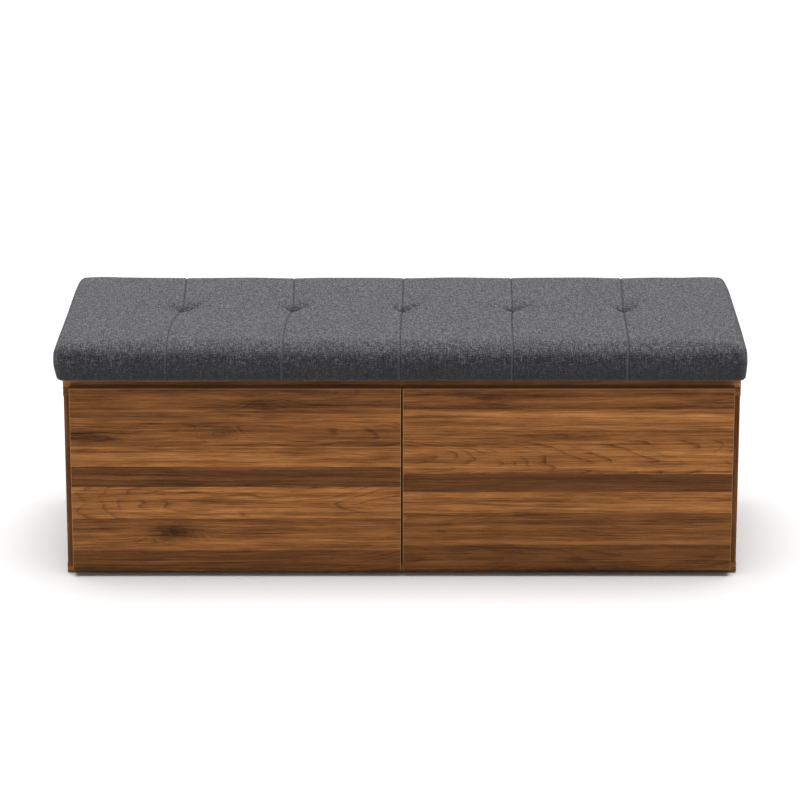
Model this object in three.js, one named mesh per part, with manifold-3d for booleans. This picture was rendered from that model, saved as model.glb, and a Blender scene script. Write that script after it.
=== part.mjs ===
// Storage bench: a walnut-faced cabinet with two push-to-open doors under a lift-up seat.
// Millimetres, +Z up. The origin is on the floor under the middle of the bench, and the
// front faces -Y. "reach" is a distance from the middle plane: x = side * reach.
import * as THREE from 'three';
import { mergeVertices } from 'three/addons/utils/BufferGeometryUtils.js';
import Module from 'manifold-3d';

const wasm = await Module();
wasm.setup();

// ---- Driving dimensions ----
const BODY = { width: 1077, front: -175, back: 193, board: 15 };
const CUSHION = { width: 1094, depth: 410, thick: 64, cornerRadius: 14 };
const GLIDE = { radius: 11, thick: 1.9, x: 500, y: 145 };
const FLOOR_GAP = 2; // underside of the cabinet above the floor
const SIDE_HEIGHT = 283; // side panels, between the bottom panel and the top frame
const FIT = 0.2; // hairline between boards that meet
const LID_GAP = 0.6; // seat board above the top frame, held by bumpers
const SIDE_INSET = 0.8; // side panels sit back from the ends of the boards above and below
const RAIL_WIDTH = 60;
const BACK_SHEET = { thick: 5, inset: 4 };
const DOOR = { thick: 16, sideInset: 10.5, footInset: 9, midGap: 3, standOff: 2, lidOverlap: 2.3 };
const PAD = { board: 12, boardInset: 20, skin: 2, clear: 0.3, returnWidth: 35 };
const TUFT = { count: 5, pitch: 181, cord: 1.2, hole: 2, washer: 8, washerThick: 1.4 };

// ---- Levels and planes ----
const floorOfBody = FLOOR_GAP;
const sideBottom = floorOfBody + BODY.board;
const sideTop = sideBottom + SIDE_HEIGHT;
const frameTop = sideTop + BODY.board;
const seatBottom = frameTop + LID_GAP;
const seatTop = seatBottom + BODY.board;
const padBottom = seatTop + PAD.clear;
const padTop = padBottom + CUSHION.thick;
const halfWidth = BODY.width / 2;
const sideOuter = halfWidth - SIDE_INSET;
const sideInner = sideOuter - BODY.board;
const doorBack = BODY.front - DOOR.standOff;
const doorFront = doorBack - DOOR.thick;
const doorOuter = halfWidth - DOOR.sideInset;
const doorInner = DOOR.midGap / 2;
const doorBottom = floorOfBody + DOOR.footInset;
const doorTop = seatBottom + DOOR.lidOverlap;

// ---- Concealed hinges of the doors ----
const AXIS_FROM_EDGE = 4; // each door turns about a line in its thickness, near its outer edge
const HINGE_LEVELS = { lower: 66, upper: 258 };
const CUP = { radius: 17.3, bore: 17.5, wall: 0.7, depth: 12, under: 0.5, fromEdge: 22.5, rim: 19 };
const CUP_PLATE = { width: 20, height: 56, thick: 0.9, proud: 0.1 };
const MOUNT_PLATE = { thick: 2.5, width: 22, height: 48, fromFront: 37 };
const ARM = { thick: 10.5, halfHeight: 8.2, cheek: 2, nose: 2.6, start: 8, end: 62 };
const ARM_SLOT = { inward: 20, front: 10, back: 20 }; // the link works inside it
const LINK_PIVOT = { inward: 13, behind: 11.5, pin: 1.2, bore: 1.5 }; // from the door's axis
const LINK = { radius: 10.5, span: 160, rest: -34, thick: 2.4, halfHeight: 5, tip: 1.8 };

// ---- Push latches ----
const LATCH = { reach: 40, size: 12, setBack: 4, length: 68, bore: 4.4, boreDepth: 22 };
const PLUNGER = { radius: 4, length: 16, proud: 0.4 };
const STRIKER = { radius: 8, thick: 0.9, proud: 0.1 };

// ---- Lid hinges and bumpers ----
const LID_HINGE_X = [-380, 0, 380];
const LID_HINGE = { length: 84, barrel: 3.4, bore: 1.8, axisOut: 4.6 };
const LEAF = { thick: 1.6, off: 0.3, fromEdge: 1.5, belowAxis: 3.2, aboveAxis: 4, neck: 5 };
const WEB = { near: 0.3, far: 2.4 }; // strip that ties a leaf to its knuckles, from the axis
const HINGE_PIN = { radius: 1.5, head: 2.8, headThick: 1.6, headGap: 0.4 };
const BUMPER = { radius: 5, x: 505, y: 150, clear: 0.1 };

// How far a cutting tool runs past the piece it cuts.
const PAST = 1;

// ---- Materials ----
const finish = (color, roughness, metalness = 0) =>
  new THREE.MeshStandardMaterial({ color, roughness, metalness });
const walnut = finish(0x7b4e2f, 0.55);
const boardCore = finish(0xb89468, 0.8);
const fabric = finish(0x5a5b60, 0.95);
const foam = finish(0xe9e2cf, 0.95);
const steel = finish(0xb9bcc0, 0.35, 0.9);
const darkPlastic = finish(0x2b2b2d, 0.6);
const clearRubber = finish(0xcfcfca, 0.5);

// ---- Shape helpers ----
function slab(xs, ys, zs) {
  const low = [xs, ys, zs].map((pair) => Math.min(...pair));
  const size = [xs, ys, zs].map((pair, i) => Math.max(...pair) - low[i]);
  return new THREE.BoxGeometry(...size)
    .translate(low[0] + size[0] / 2, low[1] + size[1] / 2, low[2] + size[2] / 2);
}

function rod(radius, along, from, to, centre, sides = 24) {
  // A round bar along x, y or z; centre gives its place on the other two axes, in order.
  const shape = new THREE.CylinderGeometry(radius, radius, Math.abs(to - from), sides);
  const middle = (from + to) / 2;
  if (along === 'x') return shape.rotateZ(Math.PI / 2).translate(middle, ...centre);
  if (along === 'y') return shape.translate(centre[0], middle, centre[1]);
  return shape.rotateX(Math.PI / 2).translate(...centre, middle);
}

function roundedBlock(halfX, halfY, radius, zs) {
  const outline = new THREE.Shape();
  const x = halfX - radius;
  const y = halfY - radius;
  outline.absarc(x, y, radius, 0, Math.PI / 2);
  outline.absarc(-x, y, radius, Math.PI / 2, Math.PI);
  outline.absarc(-x, -y, radius, Math.PI, 1.5 * Math.PI);
  outline.absarc(x, -y, radius, 1.5 * Math.PI, 2 * Math.PI);
  const options = { depth: zs[1] - zs[0], bevelEnabled: false, curveSegments: 5 };
  return new THREE.ExtrudeGeometry(outline, options).translate(0, 0, zs[0]);
}

function toSolid(geometry) {
  const bare = geometry.index ? geometry.clone() : mergeVertices(geometry);
  bare.deleteAttribute('normal');
  bare.deleteAttribute('uv');
  const merged = mergeVertices(bare, 1e-4);
  return new wasm.Manifold(new wasm.Mesh({
    numProp: 3,
    vertProperties: new Float32Array(merged.attributes.position.array),
    triVerts: new Uint32Array(merged.index.array),
  }));
}

function toGeometry(solid) {
  const mesh = solid.getMesh();
  const geometry = new THREE.BufferGeometry();
  geometry.setAttribute('position', new THREE.BufferAttribute(mesh.vertProperties, mesh.numProp));
  geometry.setIndex(new THREE.BufferAttribute(mesh.triVerts, 1));
  geometry.computeVertexNormals();
  return geometry;
}

const join = (...shapes) => toGeometry(
  shapes.map(toSolid).reduce((sum, piece) => sum.add(piece)));
const cut = (shape, ...tools) => toGeometry(
  tools.map(toSolid).reduce((rest, tool) => rest.subtract(tool), toSolid(shape)));

const bench = new THREE.Group();
function piece(name, geometry, material) {
  const mesh = new THREE.Mesh(geometry, material);
  mesh.name = name;
  bench.add(mesh);
}

// ---- Cabinet ----
function cabinet() {
  const depth = [BODY.front, BODY.back];
  const between = [sideBottom + FIT, sideTop - FIT];
  const frameZ = [sideTop, frameTop];
  piece('bottom_panel', slab([-halfWidth, halfWidth], depth, [floorOfBody, sideBottom]), walnut);
  for (const [name, side] of [['left', -1], ['right', 1]]) {
    piece(`${name}_side_panel`, slab([side * sideInner, side * sideOuter], depth, between), walnut);
    const railX = [side * halfWidth, side * (halfWidth - RAIL_WIDTH)];
    const railY = [BODY.front + RAIL_WIDTH + FIT, BODY.back - RAIL_WIDTH - FIT];
    piece(`${name}_top_rail`, slab(railX, railY, frameZ), walnut);
  }
  const wholeWidth = [-halfWidth, halfWidth];
  piece('front_top_rail', slab(wholeWidth, [BODY.front, BODY.front + RAIL_WIDTH], frameZ), walnut);
  piece('back_top_rail', slab(wholeWidth, [BODY.back - RAIL_WIDTH, BODY.back], frameZ), walnut);

  const sheetBack = BODY.back - BACK_SHEET.inset;
  const sheetFront = sheetBack - BACK_SHEET.thick;
  const inner = sideInner - FIT;
  piece('back_panel', slab([-inner, inner], [sheetFront, sheetBack], between), walnut);
  const half = BODY.board / 2;
  piece('centre_divider', slab([-half, half], [BODY.front, sheetFront - FIT], between), walnut);
}

function glides() {
  const places = { left: -GLIDE.x, middle: 0, right: GLIDE.x };
  for (const [name, x] of Object.entries(places)) {
    for (const [end, y] of [['front', -GLIDE.y], ['back', GLIDE.y]]) {
      const disc = rod(GLIDE.radius, 'z', 0, GLIDE.thick, [x, y], 16);
      piece(`${name}_${end}_glide`, disc, darkPlastic);
    }
  }
}

// ---- Seat ----
function seat() {
  const halfX = CUSHION.width / 2;
  const halfY = CUSHION.depth / 2;
  const corner = CUSHION.cornerRadius;
  const plank = slab([-halfWidth, halfWidth], [BODY.front, BODY.back], [seatBottom, seatTop]);
  piece('seat_board', plank, walnut);

  const boardBottom = padBottom + PAD.skin + PAD.clear;
  const boardTop = boardBottom + PAD.board;
  const foamTop = padTop - PAD.skin - PAD.clear;
  const boardX = halfX - PAD.boardInset;
  const boardY = halfY - PAD.boardInset;
  const middleTuft = (TUFT.count - 1) / 2;
  const tuftX = Array.from({ length: TUFT.count }, (_, i) => (i - middleTuft) * TUFT.pitch);
  const holes = tuftX.map((x) => rod(TUFT.hole, 'z', padBottom, padTop, [x, 0], 12));

  const board = roundedBlock(boardX, boardY, corner, [boardBottom, boardTop]);
  piece('pad_base_board', cut(board, ...holes), boardCore);

  const shrink = PAD.skin + PAD.clear;
  const block = roundedBlock(halfX - shrink, halfY - shrink, corner - shrink, [boardBottom, foamTop]);
  const rebate = roundedBlock(boardX + PAD.clear, boardY + PAD.clear, corner,
    [boardBottom - PAST, boardTop + PAD.clear]);
  piece('seat_foam', cut(block, rebate, ...holes), foam);

  const shell = roundedBlock(halfX, halfY, corner, [padBottom, padTop]);
  const hollow = roundedBlock(halfX - PAD.skin, halfY - PAD.skin, corner - PAD.skin,
    [padBottom + PAD.skin, padTop - PAD.skin]);
  const opening = roundedBlock(halfX - PAD.returnWidth, halfY - PAD.returnWidth, corner / 2,
    [padBottom - PAST, padBottom + PAD.skin + PAST]);
  piece('seat_cover', cut(shell, hollow, opening), fabric);

  tuftX.forEach((x, i) => {
    const profile = [
      [0, 0], [TUFT.washer, 0], [TUFT.washer, TUFT.washerThick],
      [TUFT.cord, TUFT.washerThick], [TUFT.cord, foamTop - padBottom], [0, foamTop - padBottom],
    ].map(([r, z]) => new THREE.Vector2(r, z));
    const tie = new THREE.LatheGeometry(profile, 12).rotateX(Math.PI / 2)
      .translate(x, 0, padBottom + PAD.clear / 2);
    piece(`tuft_tie_${i + 1}`, tie, darkPlastic);
  });
}

// ---- Lid hinges: three narrow torsion hinges on the back edges ----
function lidHinges() {
  const { length, barrel, bore } = LID_HINGE;
  const axisY = BODY.back + LID_HINGE.axisOut;
  const axisZ = (frameTop + seatBottom) / 2;
  const centre = [axisY, axisZ];
  const leafY = [BODY.back + LEAF.off, BODY.back + LEAF.off + LEAF.thick];
  const webY = [leafY[0], axisY];
  LID_HINGE_X.forEach((x, i) => {
    const start = x - length / 2;
    const end = x + length / 2;
    const third = length / 3;
    const outerKnuckles = [[start, start + third - FIT], [end - third + FIT, end]];
    const middleKnuckle = [start + third + FIT, end - third - FIT];
    const knuckle = (xs) => rod(barrel, 'x', ...xs, centre, 16);
    const drill = rod(bore, 'x', start - PAST, end + PAST, centre, 12);

    const baseParts = outerKnuckles.flatMap((xs) => [
      slab(xs, webY, [axisZ - WEB.far, axisZ - WEB.near]),
      slab(xs, leafY, [axisZ - LEAF.neck, axisZ - WEB.near]),
      knuckle(xs),
    ]);
    const baseLeaf = slab([start, end], leafY, [sideTop + LEAF.fromEdge, axisZ - LEAF.belowAxis]);
    piece(`lid_hinge_base_leaf_${i + 1}`, cut(join(baseLeaf, ...baseParts), drill), steel);

    const lidParts = [
      slab(middleKnuckle, webY, [axisZ + WEB.near, axisZ + WEB.far]),
      slab(middleKnuckle, leafY, [axisZ + WEB.near, axisZ + LEAF.neck]),
      knuckle(middleKnuckle),
    ];
    const lidLeaf = slab([start, end], leafY, [axisZ + LEAF.aboveAxis, seatTop - LEAF.fromEdge]);
    piece(`lid_hinge_top_leaf_${i + 1}`, cut(join(lidLeaf, ...lidParts), drill), steel);

    const { radius, head, headThick, headGap } = HINGE_PIN;
    const reach = length / 2 + headGap;
    const shaft = rod(radius, 'x', x - reach - headThick / 2, x + reach + headThick / 2, centre, 12);
    const heads = [-1, 1].map((way) =>
      rod(head, 'x', x + way * reach, x + way * (reach + headThick), centre, 12));
    piece(`lid_hinge_pin_${i + 1}`, join(shaft, ...heads), steel);
  });
}

function bumpers() {
  for (const [name, x] of [['left', -BUMPER.x], ['right', BUMPER.x]]) {
    for (const [end, y] of [['front', -BUMPER.y], ['back', BUMPER.y]]) {
      const levels = [frameTop + BUMPER.clear, seatBottom - BUMPER.clear];
      const dot = rod(BUMPER.radius, 'z', ...levels, [x, y], 16);
      piece(`${name}_${end}_lid_bumper`, dot, clearRubber);
    }
  }
}

// ---- Doors and their concealed hinges ----
const axisReach = doorOuter - AXIS_FROM_EDGE;
const pivot = {
  reach: axisReach - LINK_PIVOT.inward,
  y: (doorBack + doorFront) / 2 + LINK_PIVOT.behind,
};

function cupPlace(side) {
  return side * (doorOuter - CUP.fromEdge);
}

function door(name, side) {
  const width = [side * doorInner, side * doorOuter];
  const board = slab(width, [doorFront, doorBack], [doorBottom, doorTop]);
  const boreY = [doorBack - CUP.depth - CUP.under, doorBack + PAST];
  const bores = Object.values(HINGE_LEVELS).map((z) =>
    rod(CUP.bore, 'y', ...boreY, [cupPlace(side), z], 32));
  piece(`${name}_door`, cut(board, ...bores), walnut);
}

function hingeCup(side, z) {
  const x = cupPlace(side);
  const plateY = [doorBack + CUP_PLATE.proud, doorBack + CUP_PLATE.proud + CUP_PLATE.thick];
  const halfWide = CUP_PLATE.width / 2;
  const halfTall = CUP_PLATE.height / 2;
  const plate = slab([x - halfWide, x + halfWide], plateY, [z - halfTall, z + halfTall]);
  const rim = rod(CUP.rim, 'y', ...plateY, [x, z], 32);
  const bottom = doorBack - CUP.depth;
  const bowl = rod(CUP.radius, 'y', bottom, plateY[0] + CUP_PLATE.thick / 2, [x, z], 32);
  const inside = CUP.radius - CUP.wall;
  const hollow = rod(inside, 'y', bottom + CUP.wall, plateY[1] + PAST, [x, z], 32);
  return cut(join(plate, rim, bowl), hollow);
}

function hingeArm(side, z) {
  const at = (reach) => side * reach;
  const levels = [z - ARM.halfHeight, z + ARM.halfHeight];
  const plateReach = sideInner - FIT;
  const plateFace = plateReach - MOUNT_PLATE.thick;
  const plateY = BODY.front + MOUNT_PLATE.fromFront;
  const halfWide = MOUNT_PLATE.width / 2;
  const halfTall = MOUNT_PLATE.height / 2;
  const plate = slab([at(plateReach), at(plateFace)],
    [plateY - halfWide, plateY + halfWide], [z - halfTall, z + halfTall]);
  const armX = [at(plateFace + MOUNT_PLATE.thick / 2), at(plateFace - ARM.thick)];
  const arm = slab(armX, [BODY.front + ARM.start, BODY.front + ARM.end], levels);

  const { reach, y } = pivot;
  const nose = rod(ARM.nose, 'z', ...levels, [at(reach), y], 16);
  const neckX = [at(reach + ARM.nose), at(reach - ARM.nose)];
  const neck = slab(neckX, [y, BODY.front + ARM.start + ARM.nose], levels);
  const openZ = [z - ARM.halfHeight + ARM.cheek, z + ARM.halfHeight - ARM.cheek];
  const slot = slab([at(sideInner), at(reach - ARM_SLOT.inward)],
    [y - ARM_SLOT.front, BODY.front + ARM_SLOT.back], openZ);
  const pinZ = [openZ[0] - ARM.cheek / 2, openZ[1] + ARM.cheek / 2];
  const pin = rod(LINK_PIVOT.pin, 'z', ...pinZ, [at(reach), y], 12);
  return join(cut(join(plate, arm, neck, nose), slot), pin);
}

function hingeLink(side, z) {
  // A gooseneck: an arc from the pivot on the arm to a rounded tip inside the cup.
  const rest = THREE.MathUtils.degToRad(LINK.rest);
  const half = THREE.MathUtils.degToRad(LINK.span / 2);
  const halfChord = LINK.radius * Math.sin(half);
  const offset = LINK.radius * Math.cos(half);
  const arcCentre = {
    reach: pivot.reach - halfChord * Math.cos(rest) - offset * Math.sin(rest),
    y: pivot.y + halfChord * Math.sin(rest) - offset * Math.cos(rest),
  };
  const place = (radius, angle) => [
    side * (arcCentre.reach - radius * Math.cos(angle)),
    arcCentre.y + radius * Math.sin(angle),
  ];
  const upright = rest + Math.PI / 2;
  const steps = 12;
  const angles = Array.from({ length: steps + 1 },
    (_, i) => upright + half * (1 - (2 * i) / steps));
  const outer = angles.map((a) => place(LINK.radius + LINK.thick / 2, a));
  const inner = angles.map((a) => place(LINK.radius - LINK.thick / 2, a)).reverse();
  const outline = new THREE.Shape([...outer, ...inner].map((p) => new THREE.Vector2(...p)));
  const levels = [z - LINK.halfHeight, z + LINK.halfHeight];
  const options = { depth: 2 * LINK.halfHeight, bevelEnabled: false };
  const strap = new THREE.ExtrudeGeometry(outline, options).translate(0, 0, levels[0]);
  const eyePlace = [side * pivot.reach, pivot.y];
  const eye = rod(ARM.nose, 'z', ...levels, eyePlace, 16);
  const tip = rod(LINK.tip, 'z', ...levels, place(LINK.radius, upright - half), 12);
  const drill = rod(LINK_PIVOT.bore, 'z', levels[0] - PAST, levels[1] + PAST, eyePlace, 12);
  return cut(join(strap, eye, tip), drill);
}

// ---- Push latches: housing under the front rail, plunger, and striker on the door ----
function pushLatch(name, side) {
  const x = side * LATCH.reach;
  const half = LATCH.size / 2;
  const z = sideTop - FIT - half;
  const front = BODY.front + LATCH.setBack;
  const box = slab([x - half, x + half], [front, front + LATCH.length], [z - half, z + half]);
  const bore = rod(LATCH.bore, 'y', front - PAST, front + LATCH.boreDepth, [x, z], 16);
  piece(`${name}_latch_housing`, cut(box, bore), darkPlastic);
  const tip = BODY.front - PLUNGER.proud;
  const plunger = rod(PLUNGER.radius, 'y', tip, tip + PLUNGER.length, [x, z], 16);
  piece(`${name}_latch_plunger`, plunger, clearRubber);
  const strikerFront = doorBack + STRIKER.proud;
  const striker = rod(STRIKER.radius, 'y', strikerFront, strikerFront + STRIKER.thick, [x, z], 16);
  piece(`${name}_striker_plate`, striker, steel);
}

cabinet();
glides();
seat();
lidHinges();
bumpers();
for (const [name, side] of [['left', -1], ['right', 1]]) {
  door(name, side);
  pushLatch(name, side);
  for (const [level, z] of Object.entries(HINGE_LEVELS)) {
    piece(`${name}_${level}_hinge_cup`, hingeCup(side, z), steel);
    piece(`${name}_${level}_hinge_arm`, hingeArm(side, z), steel);
    piece(`${name}_${level}_hinge_link`, hingeLink(side, z), steel);
  }
}

export default bench;
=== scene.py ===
"""Looks of the storage bench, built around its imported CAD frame. Lengths are in millimetres here, and
Blender gets them in metres."""

import math
from types import SimpleNamespace

import bpy
import numpy as np
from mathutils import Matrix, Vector


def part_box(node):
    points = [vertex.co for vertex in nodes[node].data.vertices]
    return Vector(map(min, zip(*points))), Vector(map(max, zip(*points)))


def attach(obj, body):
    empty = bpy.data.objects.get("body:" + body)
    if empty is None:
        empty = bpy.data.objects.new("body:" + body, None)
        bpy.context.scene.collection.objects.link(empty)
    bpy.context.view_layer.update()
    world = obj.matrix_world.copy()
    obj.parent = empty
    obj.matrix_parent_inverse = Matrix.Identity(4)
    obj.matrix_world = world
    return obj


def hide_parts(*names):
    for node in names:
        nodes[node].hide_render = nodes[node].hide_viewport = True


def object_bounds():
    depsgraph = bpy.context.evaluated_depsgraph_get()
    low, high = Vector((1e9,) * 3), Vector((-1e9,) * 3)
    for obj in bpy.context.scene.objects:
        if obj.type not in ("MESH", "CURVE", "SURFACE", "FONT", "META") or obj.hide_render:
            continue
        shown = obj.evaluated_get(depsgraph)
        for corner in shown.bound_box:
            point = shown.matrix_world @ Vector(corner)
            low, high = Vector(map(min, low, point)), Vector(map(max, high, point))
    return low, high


MM = 0.001
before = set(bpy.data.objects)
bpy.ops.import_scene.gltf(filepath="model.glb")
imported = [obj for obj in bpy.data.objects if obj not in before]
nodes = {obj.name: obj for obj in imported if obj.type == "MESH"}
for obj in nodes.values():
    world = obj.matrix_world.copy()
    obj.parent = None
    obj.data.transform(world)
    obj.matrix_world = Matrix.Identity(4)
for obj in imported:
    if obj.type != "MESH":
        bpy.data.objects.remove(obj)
cad_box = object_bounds()


def box_mm(name):
    """The lowest and the highest corner of a CAD node."""
    return [[round(size / MM, 2) for size in corner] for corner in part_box(name)]


def middle_mm(name):
    return [(low + high) / 2.0 for low, high in zip(*box_mm(name))]


# ---- Shader maths: fields are numbers that vary over a surface ----
class Field:
    def __init__(self, net, socket):
        self.net, self.socket = net, socket

    def math(self, kind, *others):
        return self.net.math(kind, self, *others)

    def __add__(self, other):
        return self.math("ADD", other)

    def __sub__(self, other):
        return self.math("SUBTRACT", other)

    def __mul__(self, other):
        return self.math("MULTIPLY", other)

    def __truediv__(self, other):
        return self.math("DIVIDE", other)

    def __rsub__(self, other):
        return self.net.math("SUBTRACT", other, self)

    def power(self, n):
        return self.math("POWER", n)

    def root(self):
        return self.math("SQRT")

    def abs(self):
        return self.math("ABSOLUTE")

    def clamp(self):
        field = self.math("ADD", 0.0)
        field.socket.node.use_clamp = True
        return field

    def step(self, low, high):
        """0 below low, 1 above high, smooth between."""
        node = self.net.add("ShaderNodeMapRange", interpolation_type="SMOOTHSTEP")
        self.net.feed(node.inputs["Value"], self)
        node.inputs["From Min"].default_value = low
        node.inputs["From Max"].default_value = high
        return Field(self.net, node.outputs["Result"])


class Net:
    """A material whose nodes are written as formulas."""

    def __init__(self, name):
        self.material = bpy.data.materials.new(name)
        self.material.use_nodes = True
        self.tree = self.material.node_tree
        self.shader = self.tree.nodes["Principled BSDF"]
        coords = self.add("ShaderNodeTexCoord")
        self.place = [axis * 1000.0 for axis in self.axes(coords.outputs["Object"])]
        self.facing = self.axes(coords.outputs["Normal"])

    def add(self, kind, **settings):
        node = self.tree.nodes.new(kind)
        for key, value in settings.items():
            setattr(node, key, value)
        return node

    def feed(self, socket, value):
        if isinstance(value, Field):
            value = value.socket
        if isinstance(value, bpy.types.NodeSocket):
            self.tree.links.new(value, socket)
        else:
            socket.default_value = value

    def math(self, kind, *values):
        node = self.add("ShaderNodeMath", operation=kind)
        for socket, value in zip(node.inputs, values):
            self.feed(socket, value)
        return Field(self, node.outputs[0])

    def axes(self, vector):
        node = self.add("ShaderNodeSeparateXYZ")
        self.feed(node.inputs[0], vector)
        return [Field(self, out) for out in node.outputs]

    def vector(self, x, y=0.0, z=0.0):
        node = self.add("ShaderNodeCombineXYZ")
        for socket, value in zip(node.inputs, (x, y, z)):
            self.feed(socket, value)
        return node.outputs[0]

    def noise(self, vector, detail=3.0, roughness=0.55):
        node = self.add("ShaderNodeTexNoise")
        self.feed(node.inputs["Vector"], vector)
        node.inputs["Scale"].default_value = 1.0
        node.inputs["Detail"].default_value = detail
        node.inputs["Roughness"].default_value = roughness
        return Field(self, node.outputs["Fac"])

    def scaled(self, sizes):
        """The place, counted in cells of these sizes along x, y and z."""
        return self.vector(*(axis / size for axis, size in zip(self.place, sizes)))

    def speckle(self, sizes, detail=3.0, roughness=0.55):
        """Noise in space, with cells of these sizes."""
        return self.noise(self.scaled(sizes), detail, roughness)

    def chips(self, sizes):
        """Loose chips of these sizes: how far the nearest one's middle is, and a number for each chip."""
        node = self.add("ShaderNodeTexVoronoi")
        self.feed(node.inputs["Vector"], self.scaled(sizes))
        node.inputs["Scale"].default_value = 1.0
        return Field(self, node.outputs["Distance"]), self.axes(node.outputs["Color"])[0]

    def ramp(self, value, stops, steps=False):
        """Colours along value: stops are (place, colour)."""
        node = self.add("ShaderNodeValToRGB")
        ramp = node.color_ramp
        ramp.interpolation = "CONSTANT" if steps else "LINEAR"
        while len(ramp.elements) < len(stops):
            ramp.elements.new(1.0)
        for element, (place, colour) in zip(ramp.elements, stops):
            element.position = place
            element.color = (*colour, 1.0)
        self.feed(node.inputs[0], value)
        return node.outputs["Color"]

    def mix(self, factor, a, b):
        node = self.add("ShaderNodeMix", data_type="RGBA")
        self.feed(node.inputs[0], factor)
        for socket, value in ((node.inputs[6], a), (node.inputs[7], b)):
            self.feed(socket, (*value, 1.0) if isinstance(value, tuple) else value)
        return node.outputs[2]

    def finish(self, colour, roughness, height=None, depth=0.0, **values):
        """Feeds the shader. depth is the height of the relief in metres."""
        self.feed(self.shader.inputs["Base Color"], colour)
        self.feed(self.shader.inputs["Roughness"], roughness)
        for key, value in values.items():
            self.shader.inputs[key.replace("_", " ")].default_value = value
        if height is not None:
            bump = self.add("ShaderNodeBump")
            bump.inputs["Distance"].default_value = depth
            self.feed(bump.inputs["Height"], height)
            self.feed(self.shader.inputs["Normal"], bump.outputs["Normal"])
        return self.material


# ---- Walnut laminate: planks ----
WALNUT = [
    (0.00, (0.024, 0.009, 0.003)),
    (0.25, (0.098, 0.036, 0.010)),
    (0.50, (0.230, 0.086, 0.023)),
    (0.75, (0.385, 0.152, 0.043)),
    (1.00, (0.570, 0.252, 0.082)),
]
# Painted highlight along the doors' edges, standing in for the light that catches them.
EDGE_PAINTED_HIGHLIGHT = (0.50, 0.29, 0.14)
EDGE_WIDTH = 1.0
TOP_PLANK = 120.0  # the last plank's width

# A step ramp's colours carry the planks' numbers, so each is brought between 0 and 1, and out again.
CENTRE_FROM, CENTRE_SPAN = -300.0, 900.0
DEPTH_SPAN = 300.0
MIDDLE = 0.5
STEEPEST = 100.0


def plank(low, tone, centre, depth, tilt, figure, fade=0.0):
    """One plank of the grain, from height low up to the next plank. Its rings are a slanting cut through a
    trunk: centre and depth say where the heart lies, tilt how it leans away along the plank. figure is how
    strongly the rings show, and fade how much lighter the plank is at its top than at its foot."""
    return SimpleNamespace(
        low=low, tone=tone, centre=centre, depth=depth, tilt=tilt, figure=figure, fade=fade)


def plain_planks(low, count, width, first=0, lift=0.0):
    """Planks of one width for the boards without a grain of their own. lift makes all of them lighter."""
    tones = [0.52, 0.34, 0.58, 0.44, 0.30, 0.56, 0.47]
    return [
        plank(low + i * width, tones[(i + first) % len(tones)] + lift,
              centre=-120.0 + 70.0 * (i % 3), depth=60.0, tilt=0.04, figure=0.4)
        for i in range(count)
    ]


# On a door, the height z and the depth y are summed to count over the planks.
FACE = box_mm("left_door")[0][1]


def door_planks(*rows):
    """A door's planks. A row has the height on its face, and then what plank() takes after low."""
    return [plank(z + FACE, *rest) for z, *rest in rows]


def door_knot(x, z, wide, tall, rings, dark):
    """A knot on a door's face: its half sizes, how far it bends the rings, and how dark its stain is. The
    place along the grain comes first, and then the height, counted as the planks are."""
    return x, z + FACE, wide, tall, rings, dark


LEFT_DOOR = door_planks(
    (0, 0.34, 60, 40, 0.10, 0.45),
    (44, 0.52, 200, 60, 0.02, 0.60, -0.12),
    (98, 0.60, 128, 22, -0.07, 0.75),
    (152, 0.35, -100, 90, 0.03, 0.40),
    (186, 0.63, -150, 80, 0.02, 0.45),
    (220, 0.49, 245, 36, 0.05, 0.60, 0.17),
    (276, 0.43, 320, 30, 0.08, 0.35, 0.12),
)
LEFT_KNOTS = (
    door_knot(-366.0, 76.0, wide=46.0, tall=15.0, rings=34.0, dark=0.42),
    door_knot(-512.0, 238.0, wide=60.0, tall=9.0, rings=14.0, dark=0.38),
    door_knot(-292.0, 243.0, wide=30.0, tall=10.0, rings=26.0, dark=0.14),
    door_knot(-224.0, 299.0, wide=48.0, tall=17.0, rings=16.0, dark=0.15),
)
RIGHT_DOOR = door_planks(
    (0, 0.36, 30, 50, 0.05, 0.40),
    (54, 0.46, 90, 30, -0.06, 0.45, -0.15),
    (108, 0.58, -120, 80, 0.05, 0.50, -0.06),
    (144, 0.28, -100, 90, 0.03, 0.40),
    (174, 0.60, 200, 26, 0.11, 0.85),
    (230, 0.58, -180, 70, 0.05, 0.50, 0.22),
    (283, 0.43, 330, 50, 0.05, 0.35, 0.08),
)
RIGHT_KNOTS = (
    door_knot(137.0, 297.0, wide=50.0, tall=14.0, rings=18.0, dark=0.22),
    door_knot(250.0, 238.0, wide=120.0, tall=5.0, rings=6.0, dark=0.22),
)


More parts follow.
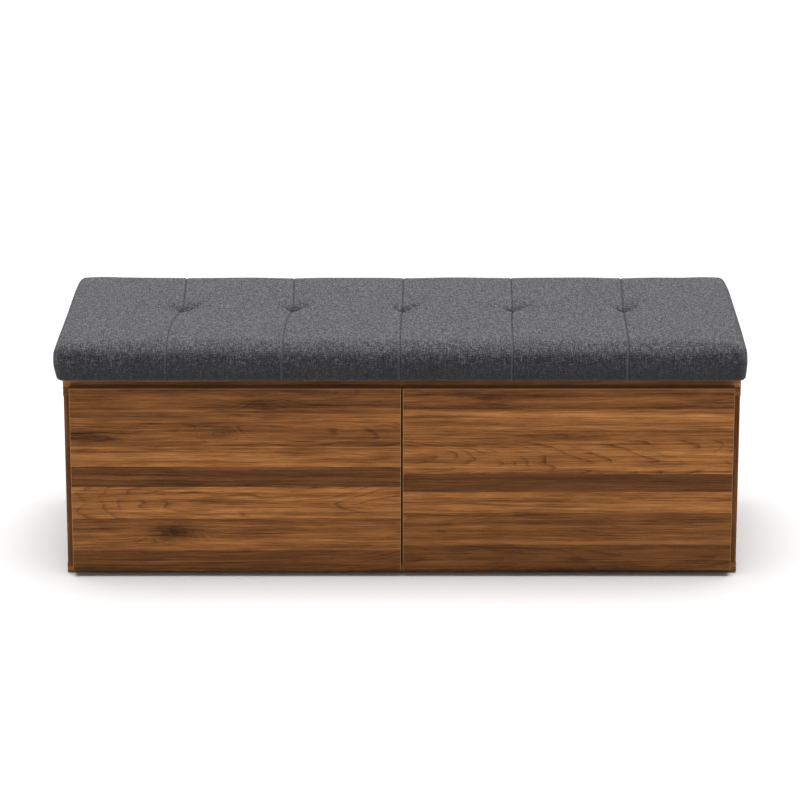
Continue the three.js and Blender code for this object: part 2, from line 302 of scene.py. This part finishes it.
# ---- Walnut laminate: the finish ----
def plank_fields(net, v, planks, start):
    """What the plank at height v is like: a field for each of its numbers, a seed of its own, and rise,
    which goes from -0.5 at its foot to 0.5 at its top. Its centre is counted as v is."""
    low = planks[0].low
    span = planks[-1].low + TOP_PLANK - low
    level = (v - low) / span
    feet = [(p.low - low) / span for p in planks]
    ends = feet[1:] + [1.0]

    def carried(numbers):
        return net.axes(net.ramp(level, list(zip(feet, numbers)), steps=True))

    centre, depth, tilt = carried(
        [((p.centre - CENTRE_FROM) / CENTRE_SPAN, p.depth / DEPTH_SPAN, p.tilt + MIDDLE) for p in planks])
    tone, seed, figure = carried([(p.tone, (i * 0.37 + start) % 1.0, p.figure) for i, p in enumerate(planks)])
    foot, steepness, fade = carried(
        [(foot, 1.0 / (end - foot) / STEEPEST, p.fade + MIDDLE) for foot, end, p in zip(feet, ends, planks)])
    return SimpleNamespace(
        centre=centre * CENTRE_SPAN + CENTRE_FROM + low,
        depth=depth * DEPTH_SPAN,
        tilt=tilt - MIDDLE,
        tone=tone,
        seed=seed,
        figure=figure,
        fade=fade - MIDDLE,
        rise=((level - foot) * steepness * STEEPEST).clamp() - 0.5,
    )


def walnut(name, grain, across, planks, knots=(), start=0.0, edges=None):
    """Planked walnut. grain is the axis that the fibres follow, and the sum of the two axes in across
    counts over the planks. edges are a door's (x near the middle, x at its side, z at its top), and carry
    a painted highlight: lighter colour that stands in for the light catching them."""
    net = Net(name)
    place = dict(zip("xyz", net.place))
    facing = dict(zip("xyz", net.facing))
    end_grain = facing[grain].abs().step(0.6, 0.8)
    first, second = (place[axis] for axis in across)
    u = place[grain] + end_grain * first
    v = (first + second) * (1 - end_grain) + end_grain * (second + 40.0)
    here = plank_fields(net, v, planks, start)
    layer = here.seed * 91.0 + start * 13.0

    def stretched(long, wide, detail=3.0, roughness=0.55, sway=None, shift=0.0):
        """Noise drawn out along the grain, with cells this long and wide. sway moves it across the grain."""
        swayed = v if sway is None else v + sway
        return net.noise(net.vector(u / long, swayed / wide, layer + shift), detail, roughness)

    wobble = (stretched(long=260.0, wide=60.0, detail=2.0) - 0.5) * 30.0
    ripple = (stretched(long=60.0, wide=9.0) - 0.5) * 2.2
    away = here.depth + here.tilt * u + wobble
    radius = ((v - here.centre).power(2.0) + away * away).root() + ripple
    smudge = stretched(long=16.0, wide=4.0, roughness=0.6, shift=5.0)
    stain = None
    for x, height, wide, tall, rings, dark in knots:
        nearness = (((u - x) / wide).power(2.0) + ((v - height) / tall).power(2.0)) * -1.0
        radius = radius + nearness.math("EXPONENT") * rings
        spot = (nearness * 1.6).math("EXPONENT") * smudge * dark * 1.9
        stain = spot if stain is None else stain + spot

    spacing = net.noise(net.vector(radius / 22.0, layer), 2.0) * 9.0
    ring = ((radius + spacing) / 4.6).math("FRACT")
    ring = ring.power(6.0) * (1 - ring.step(0.90, 1.0))
    shown = stretched(long=130.0, wide=16.0, detail=2.0, shift=11.0).step(0.38, 0.62)

    broad = stretched(long=900.0, wide=9.0, sway=wobble * 0.4) - 0.5
    streak = stretched(long=240.0, wide=2.8, detail=4.0, roughness=0.65, sway=wobble * 0.35) - 0.5
    fibre = stretched(long=45.0, wide=1.2, roughness=0.65, sway=ripple) - 0.5
    patch = stretched(long=130.0, wide=22.0, shift=7.0) - 0.5
    pores = stretched(long=9.0, wide=0.5, detail=2.0, shift=3.0).step(0.58, 0.70)

    contrast = (here.tone * 2.4 - 0.15).math("MINIMUM", 1.35)  # dark planks are calm, pale ones lively
    value = here.tone + (broad * 0.72 + streak * 0.66 + fibre * 0.76 + patch * 0.50) * contrast
    value = value - ring * here.figure * shown * 0.62 - pores * 0.14 + here.rise * here.fade
    if stain is not None:
        value = value - stain
    colour = net.ramp(value.clamp(), WALNUT)
    # Painted highlight: the doors' edges are painted lighter, standing in for the light that catches them.
    if edges is not None:
        x_near, x_side, z_top = edges
        x, z = place["x"].abs(), place["z"]
        inset = (x - x_near).math("MINIMUM", x_side - x).math("MINIMUM", z_top - z)
        highlight = 1 - inset.step(0.7 * EDGE_WIDTH, 1.3 * EDGE_WIDTH)
        colour = net.mix(highlight * 0.4, colour, EDGE_PAINTED_HIGHLIGHT)
    roughness = streak * 0.18 + 0.50 + pores * 0.1
    relief = streak * 0.5 + fibre - pores * 0.6
    return net.finish(colour, roughness, relief, 0.00010, Specular_IOR_Level=0.1)


# ---- Other finishes ----
def chipboard():
    net = Net("board_core")
    chips, chip_tint = net.chips((2.6, 1.6, 2.1))
    shade = net.speckle((9.0, 9.0, 9.0), detail=4.0)
    tint = chip_tint * 0.6 + shade * 0.5 - chips * 0.2
    paint = net.ramp(tint.clamp(), [
        (0.0, (0.19, 0.11, 0.05)),
        (0.5, (0.42, 0.28, 0.15)),
        (1.0, (0.66, 0.50, 0.31)),
    ])
    return net.finish(paint, 0.85, chips * -1.0 + shade, 0.0004)


def steel():
    """Zinc-plated sheet, brushed upright."""
    net = Net("zinc_steel")
    brushed = net.speckle((0.5, 0.5, 9.0))
    cloudy = net.speckle((7.0, 7.0, 7.0), detail=4.0)
    paint = net.ramp(cloudy, [(0.3, (0.47, 0.48, 0.50)), (0.7, (0.62, 0.63, 0.65))])
    return net.finish(paint, brushed * 0.16 + cloudy * 0.12 + 0.16, brushed, 0.00004, Metallic=1.0)


def moulded(name, dark, light, roughness, grain=0.5):
    """Plastic or rubber with a fine pebbled surface."""
    net = Net(name)
    pebble = net.speckle((grain, grain, grain))
    cloudy = net.speckle((6.0, 6.0, 6.0))
    return net.finish(net.mix(cloudy, dark, light), pebble * 0.15 + roughness, pebble, 0.00005)


THREAD_PITCH = 1.3
LINEN = [
    (0.0, (0.003, 0.003, 0.004)),
    (0.30, (0.013, 0.013, 0.016)),
    (0.50, (0.035, 0.034, 0.041)),
    (0.70, (0.082, 0.081, 0.093)),
    (1.0, (0.230, 0.230, 0.250)),
]
# Painted shade in the seams and folds, and a painted highlight on each seam's raised edge.
SEAM_SHADE = (0.004, 0.004, 0.005)
SEAM_PAINTED_HIGHLIGHT = (0.11, 0.11, 0.12)
# Painted shade: the cloth is painted darker below the top of this height.
PAINTED_SHADE_FROM, PAINTED_SHADE_HEIGHT = 328.0, 40.0  # the cloth is darker over this height


def linen():
    """Heathered grey weave: dark and pale threads both ways, with slubs that show from afar. It is painted
    lighter where it faces up, and has painted shade, darkest at the cushion's lower edge."""
    net = Net("linen_cloth")
    x, y, z = net.place
    facing_x, facing_y, facing_z = (axis.abs() for axis in net.facing)
    on_front = facing_y.step(0.55, 0.85)
    on_side = facing_x.step(0.55, 0.85)
    upright = 1 - (1 - on_front) * (1 - on_side)
    level = facing_z.step(0.60, 0.97)
    u = x * (1 - on_side) + y * on_side
    v = y * (1 - upright) + z * upright

    wander = (net.noise(net.vector(u / 14.0, v / 14.0), 2.0) - 0.5) * 1.2
    warp = ((u + wander) / THREAD_PITCH * 2 * math.pi).math("SINE")
    weft = ((v + wander) / THREAD_PITCH * 2 * math.pi).math("SINE")
    over = (warp * weft).step(-0.4, 0.4)
    warp_hair = net.noise(net.vector(u / 0.9, v / 7.0, 3.0), 3.0, 0.6)
    weft_hair = net.noise(net.vector(u / 7.0, v / 0.9, 9.0), 3.0, 0.6)
    thread = warp_hair * over + weft_hair * (1 - over)
    fleck = net.speckle((1.4, 3.0, 1.4), detail=2.0, roughness=0.8)
    slub = net.speckle((7.0, 2.0, 1.4), detail=2.0, roughness=0.7)
    slub = slub + net.speckle((1.4, 9.0, 9.0), detail=2.0, roughness=0.7)
    cloud = net.speckle((60.0, 60.0, 60.0), detail=2.0) - 0.5

    heather = (thread - 0.5) * 0.6 + (fleck - 0.5) * 2.3 + (slub - 1.0) * 1.6
    # Painted light: cloth facing up is painted lighter by (1 - upright) * 0.10, standing in for the light on
    # the cushion's top.
    value = heather * (level * 0.96 + 0.98) + (1 - upright) * 0.10 + 0.452 + cloud * 0.15
    # Painted shade: below this height the cloth is painted darker, down to half its tone at the lower edge.
    lift = ((z - PAINTED_SHADE_FROM) / PAINTED_SHADE_HEIGHT).clamp()
    value = value * lift.math("MULTIPLY_ADD", 0.50, 0.50)
    colour = net.ramp(value.clamp(), LINEN)
    attribute = net.add("ShaderNodeAttribute", attribute_name="seam")
    seam = Field(net, attribute.outputs["Fac"])
    # Painted shade down the seams and in the folds.
    colour = net.mix(seam.clamp() * 0.84, colour, SEAM_SHADE)
    # Painted highlight on the seam's raised edge.
    colour = net.mix((seam * -1.0).clamp(), colour, SEAM_PAINTED_HIGHLIGHT)
    relief = warp.abs() * over + weft.abs() * (1 - over) + thread * 0.8 + slub + fleck
    return net.finish(colour, 0.92, relief, 0.0007, Sheen_Weight=0.3, Sheen_Roughness=0.4,
                      Sheen_Tint=(1.0, 1.0, 1.0, 1.0), Specular_IOR_Level=0.15)


# ---- Cushion ----
HALF_X, HALF_Y, CROWN = (round(size / MM, 1) for size in cad_box[1])
BASE = box_mm("seat_cover")[0][2] + 0.2
TUFTS = [-355.0, -176.0, 1.5, 180.0, 360.0]  # where the dimples lie along the cushion
TUFT_Y = -3.0
LEAN_FORWARD = [-17.0, -12.0, -4.0, -4.0, -1.0]  # how far each seam has moved at the front edge
LEAN_BACK = [-3.0, -3.0, 1.0, 1.5, 4.0]  # and at the back edge
PANEL_CELLS, DEPTH_CELLS, HEIGHT_CELLS = 44, 52, 18


def smooth(t):
    t = np.clip(t, 0.0, 1.0)
    return t * t * (3.0 - 2.0 * t)


def step(value, low, high):
    """0 below low, 1 above high, smooth between."""
    return smooth((value - low) / (high - low))


def bell(t, power=2):
    """1 at 0, falling off on both sides."""
    return np.exp(-(np.abs(t) ** power))


def seam_shift(x, y):
    """The seams bend away from each tuft on the way forward, and run nearly straight to the back."""
    places = [-HALF_X, *TUFTS, HALF_X]
    forward = np.interp(x, places, [0.0, *LEAN_FORWARD, 0.0])
    back = np.interp(x, places, [0.0, *LEAN_BACK, 0.0])
    past = y - TUFT_Y
    return np.where(past < 0.0, forward * (1.0 - np.exp(past / 45.0)), back * smooth(past / 200.0))


def closer(n, bias=1.7):
    """n + 1 places from 0 to 1 that crowd towards both ends."""
    t = np.linspace(-1.0, 1.0, n + 1)
    return (np.sign(t) * (1.0 - (1.0 - np.abs(t)) ** bias) + 1.0) / 2.0


def cushion_lines():
    """The grid lines of the cushion along x, y and z. A line of the grid follows each seam."""
    stops = [-HALF_X, *TUFTS, HALF_X]
    xs = [stops[0]]
    for a, b in zip(stops, stops[1:]):
        xs += list(a + (b - a) * closer(PANEL_CELLS)[1:])
    half = HALF_Y * closer(DEPTH_CELLS)
    ys = np.concatenate([half - HALF_Y, half[1:]])
    return np.array(xs), ys, BASE + (CROWN - BASE) * closer(HEIGHT_CELLS, 1.3)


def box_skin(xs, ys, zs):
    """Points and faces of the skin of a box with these grid lines."""
    sizes = (len(xs), len(ys), len(zs))
    ids, points, faces = {}, [], []

    def corner(*at):
        if at not in ids:
            ids[at] = len(points)
            points.append((xs[at[0]], ys[at[1]], zs[at[2]]))
        return ids[at]

    for axis in range(3):
        a, b = (axis + 1) % 3, (axis + 2) % 3
        for end in (0, sizes[axis] - 1):
            for i in range(sizes[a] - 1):
                for j in range(sizes[b] - 1):
                    quad = []
                    for di, dj in ((0, 0), (1, 0), (1, 1), (0, 1)):
                        at = [0, 0, 0]
                        at[axis], at[a], at[b] = end, i + di, j + dj
                        quad.append(corner(*at))
                    faces.append(quad if end else quad[::-1])
    return np.array(points), faces


def rounded(points):
    """Rounds the box: small corners in plan, and a soft roll round the top and a tighter one below. The
    roll is fullest between the two ends."""
    inner = 1.0 - step(np.abs(points[:, 0]), 460.0, 530.0)
    corner, foot = 14.0, 4.0
    roll = 22.0 + 8.0 * inner
    shoulder = CROWN - roll
    deep = 12.0 + (10.0 + 16.0 * inner) * step(points[:, 2], shoulder - 16.0, shoulder)
    core = np.empty_like(points)
    core[:, 0] = np.clip(points[:, 0], -HALF_X + corner, HALF_X - corner)
    core[:, 1] = np.clip(points[:, 1], -HALF_Y + deep, HALF_Y - deep)
    core[:, 2] = np.clip(points[:, 2], BASE + foot, shoulder)
    reach = np.stack([np.full_like(deep, corner), deep, np.where(points[:, 2] > core[:, 2], roll, foot)], 1)
    away = (points - core) / reach
    length = np.linalg.norm(away, axis=1, keepdims=True)
    return core + away / np.maximum(length, 1e-9) * reach * (length > 1e-9)


def fold(i, dx, y):
    """The crescent fold at tuft i, from 0 on open cloth to 1 at its bottom. The cloth drops into it from
    behind, deeper on the right, and comes up steeply in front."""
    right = step(dx, -5.0, 5.0)
    sweep = 1.4 - 0.25 * right + 0.12 * math.sin(i * 2.1)
    behind = y - TUFT_Y - sweep * (np.sqrt(dx * dx + 36.0) - 6.0)
    arm = 13.0 + (8.0 + 1.5 * math.cos(i * 1.7)) * right
    drop, climb = 7.0 + 6.0 * right, 3.0
    return bell(dx / arm, 1.5) * bell(behind / np.where(behind > 0, drop, climb), 1.7)


def pull_in(rise):
    """How far a side is drawn in under the cushion, from 1 at its foot to 0 well up."""
    return np.clip(1.0 - rise / 0.6, 0.0, 1.0) ** 1.5


def set_ends(p, start, rise):
    """Draws the two ends in towards the base and the back, and moves both a little left in front."""
    near_end = step(np.abs(p[:, 0]), 440.0, 530.0)
    back = np.clip((start[:, 1] + HALF_Y) / (2.0 * HALF_Y), 0.0, 1.0)
    spread = 3.0 - 9.5 * back ** 0.8 - pull_in(rise) * np.where(start[:, 0] < 0, 6.5, 3.0)
    lean = 2.9 * (1.0 - back) ** 3 - 0.6 * back
    p[:, 0] += near_end * (np.sign(p[:, 0]) * spread - lean)


def dimple(i, t, x, y):
    """The depth of the cloth below its level around tuft i: a broad hollow, the fold, a tug along the seam,
    and faint spokes of strain."""
    dx, dy = x - t, y - TUFT_Y
    hollow = 4.5 * np.exp(-np.sqrt((dx / 34.0) ** 2 + (dy / 30.0) ** 2 + 0.02))
    tug = 0.8 * bell(dx / 9.0, 1) * bell(dy / 70.0, 1)
    spokes = np.sin(6.0 * np.arctan2(dy, dx) + i)
    strain = 0.45 * spokes * bell((np.hypot(dx, dy) - 24.0) / 15.0)
    return hollow + 17.0 * fold(i, dx, y) + tug + strain


def cushion_shape(start):
    """The stuffed form: sides that pull in to the base, a crown, puffed panels, dimples and seams."""
    p = rounded(start)
    rise = (p[:, 2] - BASE) / (CROWN - BASE)
    near_face = step(np.abs(p[:, 1]), 120.0, 180.0)
    set_ends(p, start, rise)
    p[:, 1] -= np.sign(p[:, 1]) * near_face * pull_in(rise) * 5.0

    gap = np.min([np.abs(start[:, 0] - t) for t in TUFTS], axis=0)
    puff = 1.0 - (1.0 - np.clip(gap / 90.0, 0.0, 1.0)) ** 2
    x, y = p[:, 0].copy(), p[:, 1].copy()
    p[:, 0] += seam_shift(start[:, 0], y)

    crown = 1.0 - np.abs(y / HALF_Y) ** 3
    height = -3.6 + 1.6 * crown + 1.9 * puff * (0.45 + 0.55 * crown)
    corner = step(np.abs(x), 470.0, 540.0) * step(np.abs(y), 120.0, 200.0)
    height -= corner * np.where(y > 0, 4.0, 2.0)
    height += 0.35 * np.sin(x / 31.0 + 1.7 * np.sin(y / 37.0)) * np.sin(y / 29.0 + 1.3 * np.sin(x / 41.0))
    for i, t in enumerate(TUFTS):
        height -= dimple(i, t, x, y)
    p[:, 2] += smooth(rise * 2.0 - 0.9) * height

    belly = near_face * np.sin(np.clip(rise * 1.2, 0.0, 1.0) * math.pi)
    p[:, 1] += np.sign(p[:, 1]) * belly * (puff * 2.0 - 1.6)
    return p


def outward_normals(points, faces):
    quads = np.array(faces)
    across = points[quads[:, 2]] - points[quads[:, 0]]
    along = points[quads[:, 3]] - points[quads[:, 1]]
    face_normals = np.cross(across, along)
    normals = np.zeros_like(points)
    for k in range(4):
        np.add.at(normals, quads[:, k], face_normals)
    return normals / np.maximum(np.linalg.norm(normals, axis=1, keepdims=True), 1e-12)


def sew(points, start, faces):
    """Draws the cloth in along each seam, with the seam's turned-under edge standing up on one side. Also
    marks the points for the finish's painted shade and highlight: painted shade 1 down in a seam and up to
    0.75 in a fold, and a painted highlight below 0 on the edge beside it."""
    normals = outward_normals(points, faces)
    shown = step(points[:, 2], BASE + 1.0, BASE + 3.0)
    painted_shade_and_highlight = np.zeros(len(points))
    for i, t in enumerate(TUFTS):
        off = start[:, 0] - t
        line = bell(off / 0.95) * shown
        ridge = bell((off + 2.7) / 1.2) * shown
        points = points + normals * (0.5 * ridge - 1.5 * line)[:, None]
        # The seam's groove is marked for painted shade, and its raised edge for a painted highlight.
        painted_shade_and_highlight = painted_shade_and_highlight + line - 0.6 * ridge
        # Painted shade in the fold, darkest at its bottom.
        shade = 0.75 * fold(i, points[:, 0] - t, points[:, 1]) * (start[:, 2] > CROWN - 1.0)
        painted_shade_and_highlight = np.where(shade > 0.03, np.maximum(painted_shade_and_highlight, shade), painted_shade_and_highlight)
    return points, painted_shade_and_highlight


def mesh_piece(name, points, faces, material, body, smooth_shade=True):
    mesh = bpy.data.meshes.new(name)
    mesh.from_pydata([tuple(p * MM) for p in np.asarray(points)], [], faces)
    mesh.materials.append(material)
    if smooth_shade:
        mesh.polygons.foreach_set("use_smooth", [True] * len(mesh.polygons))
    mesh.update()
    piece = bpy.data.objects.new(name, mesh)
    bpy.context.scene.collection.objects.link(piece)
    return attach(piece, body)


def cushion(material):
    start, faces = box_skin(*cushion_lines())
    points, painted_shade_and_highlight = sew(cushion_shape(start), start, faces)
    piece = mesh_piece("cushion_cover", points, faces, material, "seat_lid")
    # The seam attribute carries the painted shade and highlight of the seams and folds.
    seam = piece.data.attributes.new("seam", "FLOAT", "POINT")
    seam.data.foreach_set("value", painted_shade_and_highlight.astype(np.float32))
    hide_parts("seat_cover", "seat_foam")


# ---- Turned pieces: tuft ties and screws ----
def lathe(profile, sides, recess=()):
    """Points and faces of a closed turned body about z: profile is (radius, height) from the foot up. The
    rings in recess swell into four arms, as in a cross recess."""
    points, faces = [], []
    for k, (radius, height) in enumerate(profile):
        for n in range(sides):
            turn = 2.0 * math.pi * n / sides
            swell = 0.45 + 0.55 * abs(math.cos(2.0 * turn)) ** 3 if k in recess else 1.0
            points.append((radius * swell * math.cos(turn), radius * swell * math.sin(turn), height))
    for k in range(len(profile) - 1):
        for n in range(sides):
            m = (n + 1) % sides
            faces.append((k * sides + n, k * sides + m, (k + 1) * sides + m, (k + 1) * sides + n))
    faces.append(tuple(range(sides))[::-1])
    faces.append(tuple(range((len(profile) - 1) * sides, len(profile) * sides)))
    return np.array(points), faces


WASHER = [(7.6, 0.0), (8.0, 0.4), (7.6, 1.4), (2.2, 1.6)]
CORD_RADIUS = 1.2
CORD_TOP = CROWN - 27.0  # under the dimples, so that no cord pokes through the cloth
SCREW = [(1.00, 0.0), (1.00, 0.30), (0.86, 0.72), (0.62, 1.0), (0.56, 0.98), (0.44, 0.25)]
SCREW_RECESS = (4, 5)


def ties(material):
    """The cords that hold the dimples down: a washer under the base board and a cord up to the cloth."""
    for name in [n for n in nodes if n.startswith("tuft_tie")]:
        x, y, _ = middle_mm(name)
        foot = box_mm(name)[0][2]
        profile = [(radius, foot + height) for radius, height in WASHER]
        profile += [(CORD_RADIUS, foot + 3.0), (CORD_RADIUS, CORD_TOP)]
        points, faces = lathe(profile, 20)
        piece = mesh_piece(name + "_cord", points + (x, y, 0.0), faces, material, "seat_lid")
        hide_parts(name)


def screws(name, body, radius, height, axis, places, material):
    """Pan-head screws with a cross recess, standing on places and pointing along axis."""
    head, quads = lathe([(radius * r, height * h) for r, h in SCREW], 24, SCREW_RECESS)
    turn = Vector((0, 0, 1)).rotation_difference(Vector(axis))
    turned = np.array([turn @ Vector(p) for p in head])
    points, faces = [], []
    for place in places:
        faces += [tuple(i + len(points) for i in quad) for quad in quads]
        points += list(turned + np.array(place))
    piece = mesh_piece(name, points, faces, material, body, smooth_shade=False)


LEAF_THICK = 1.6
LEAF_EDGE = 5.0  # from a lid hinge leaf's free edge to its screws
PLATE_THICK = 2.5


def lid_hinge_screws(material):
    for part, body in (("base", "carcass"), ("top", "seat_lid")):
        places = []
        for i in (1, 2, 3):
            name = f"lid_hinge_{part}_leaf_{i}"
            low, high = box_mm(name)
            z = low[2] + LEAF_EDGE if part == "base" else high[2] - LEAF_EDGE
            places += [(middle_mm(name)[0] + dx, low[1] + LEAF_THICK, z) for dx in (-30.0, 0.0, 30.0)]
        screws(f"lid_hinge_{part}_screws", body, 2.9, 1.0, (0, 1, 0), places, material)


def door_screws(side, out, material):
    """The screws of one door's cups, mounting plates and latch. out is -1 on the left and 1 on the right."""
    cups, mounts = [], []
    for level in ("lower", "upper"):
        cup, arm = f"{side}_{level}_hinge_cup", f"{side}_{level}_hinge_arm"
        x, _, z = middle_mm(cup)
        cups += [(x, box_mm(cup)[1][1], z + dz) for dz in (-23.5, 23.5)]
        wall = max(abs(corner[0]) for corner in box_mm(arm))
        mounts += [(out * (wall - PLATE_THICK), -138.0, middle_mm(arm)[2] + dz) for dz in (-18.0, 18.0)]
    latch = f"{side}_latch_housing"
    latches = [(middle_mm(latch)[0], y, box_mm(latch)[0][2]) for y in (-150.0, -116.0)]
    screws(f"{side}_cup_screws", f"{side}_door_leaf", 3.0, 0.8, (0, 1, 0), cups, material)
    screws(f"{side}_mount_screws", "carcass", 3.0, 1.0, (-out, 0, 0), mounts, material)
    screws(f"{side}_latch_screws", "carcass", 2.6, 0.8, (0, 0, -1), latches, material)


def pad_screws(material):
    """The screws that hold the cushion's base board from under the seat board."""
    under = box_mm("seat_board")[0][2]
    places = [(x, y, under) for x in (-420.0, -150.0, 150.0, 420.0) for y in (-90.0, 90.0)]
    screws("pad_screws", "seat_lid", 3.2, 0.5, (0, 0, -1), places, material)


def fixings(material):
    """Every screw that shows when the bench is open or seen from behind."""
    lid_hinge_screws(material)
    door_screws("left", -1.0, material)
    door_screws("right", 1.0, material)
    pad_screws(material)


# ---- Stage ----
FLOOR_HALF = 9.0  # metres
EYE = (-0.003, -6.385, 2.335)  # metres
LOOKING_DOWN = 18.2


def stage():
    net = Net("pale_floor")
    x, y, _ = net.place
    mottle = net.noise(net.vector(x / 400.0, y / 400.0), 2.0)
    paint = net.mix(mottle, (0.76, 0.76, 0.76), (0.79, 0.79, 0.79))
    material = net.finish(paint, 0.7, Specular_IOR_Level=0.2)
    mesh = bpy.data.meshes.new("floor")
    corners = [(x * FLOOR_HALF, y * FLOOR_HALF, 0) for x, y in ((-1, -1), (1, -1), (1, 1), (-1, 1))]
    mesh.from_pydata(corners, [], [(0, 1, 2, 3)])
    mesh.materials.append(material)
    floor = bpy.data.objects.new("floor", mesh)
    bpy.context.scene.collection.objects.link(floor)


def soft_sun(name, energy, spread, tip):
    """A wide soft light from above, tipped towards the front by so many degrees."""
    light = bpy.data.lights.new(name, "SUN")
    light.energy = energy
    light.angle = math.radians(spread)
    lamp = bpy.data.objects.new(name, light)
    lamp.rotation_euler = (math.radians(tip), 0.0, 0.0)
    bpy.context.scene.collection.objects.link(lamp)


def studio():
    soft_sun("overhead_silk", energy=4.2, spread=60.0, tip=0.0)
    soft_sun("front_silk", energy=0.4, spread=40.0, tip=62.0)
    world = bpy.data.worlds.new("studio")
    bpy.context.scene.world = world
    world.use_nodes = True
    background = world.node_tree.nodes["Background"]
    background.inputs["Color"].default_value = (0.97, 0.98, 1.0, 1.0)
    background.inputs["Strength"].default_value = 0.15
    bpy.context.scene.view_settings.view_transform = "Standard"


def camera():
    data = bpy.data.cameras.new("camera")
    data.lens = 185.0
    data.sensor_width = 36.0
    data.clip_end = 60.0
    eye = bpy.data.objects.new("camera", data)
    bpy.context.scene.collection.objects.link(eye)
    eye.location = EYE
    eye.rotation_euler = (math.radians(90.0 - LOOKING_DOWN), 0.0, 0.0)
    bpy.context.scene.camera = eye


# ---- Finishes of the CAD nodes ----
ALONG_Y = ("left_side_panel", "right_side_panel", "left_top_rail", "right_top_rail", "centre_divider")
BOARD_WORDS = ("door", "rail", "panel", "board")
BOARD_BEVEL, SMALL_BEVEL = 0.6, 0.2


def door_edges(name):
    low, high = box_mm(name)
    x_near, x_side = sorted(abs(x) for x in (low[0], high[0]))
    return x_near, x_side, high[2]


def make_finishes(metal):
    """(rule, finish) rows: a node takes the finish of the first row whose rule its name meets."""
    side_planks = plain_planks(-560.0, 7, 48.0, 2, -0.09) + plain_planks(400.0, 9, 52.0, 4, -0.09)
    left = walnut("walnut_left_door", "x", "zy", LEFT_DOOR, LEFT_KNOTS, 0.1, door_edges("left_door"))
    right = walnut("walnut_right_door", "x", "zy", RIGHT_DOOR, RIGHT_KNOTS, 0.6, door_edges("right_door"))
    boards = walnut("walnut_boards", "x", "yz", plain_planks(-170.0, 9, 44.0), start=0.3)
    sides = walnut("walnut_sides", "y", "zx", side_planks, start=0.8)
    # Painted light: the seat board is the boards' walnut painted lighter (lift 0.33), standing in for light
    # on its front edge under the cushion.
    seat = walnut("walnut_seat_board_painted_light", "x", "yz", plain_planks(-170.0, 9, 44.0, lift=0.33), start=0.3)
    dark = moulded("dark_plastic", (0.020, 0.020, 0.022), (0.032, 0.032, 0.034), 0.45)
    clear = moulded("clear_rubber", (0.55, 0.55, 0.52), (0.68, 0.68, 0.66), 0.35)
    pale = moulded("pale_plastic", (0.62, 0.61, 0.57), (0.74, 0.73, 0.70), 0.4)
    return [
        (lambda name: name == "left_door", left),
        (lambda name: name == "right_door", right),
        (lambda name: name in ALONG_Y, sides),
        (lambda name: name == "seat_board", seat),
        (lambda name: name.endswith(("panel", "rail")), boards),
        (lambda name: name == "pad_base_board", chipboard()),
        (lambda name: name.endswith(("glide", "housing")), dark),
        (lambda name: name.endswith("bumper"), clear),
        (lambda name: name.endswith("plunger"), pale),
        (lambda name: True, metal),
    ]


def dress(metal):
    """Gives every CAD node its procedural finish and softens its edges."""
    finishes = make_finishes(metal)
    for name, node in nodes.items():
        material = next(finish for rule, finish in finishes if rule(name))
        for slot in node.material_slots:
            slot.material = material
        bevel = node.modifiers.new("soft_edges", "BEVEL")
        bevel.width = MM * (BOARD_BEVEL if any(word in name for word in BOARD_WORDS) else SMALL_BEVEL)
        bevel.segments = 2
        bevel.limit_method = "ANGLE"
        bevel.angle_limit = math.radians(40.0)


camera()
stage()
studio()
metal = steel()
dress(metal)
fixings(metal)
cushion(linen())
ties(moulded("tie_cord", (0.035, 0.035, 0.04), (0.07, 0.07, 0.075), 0.8, 0.3))
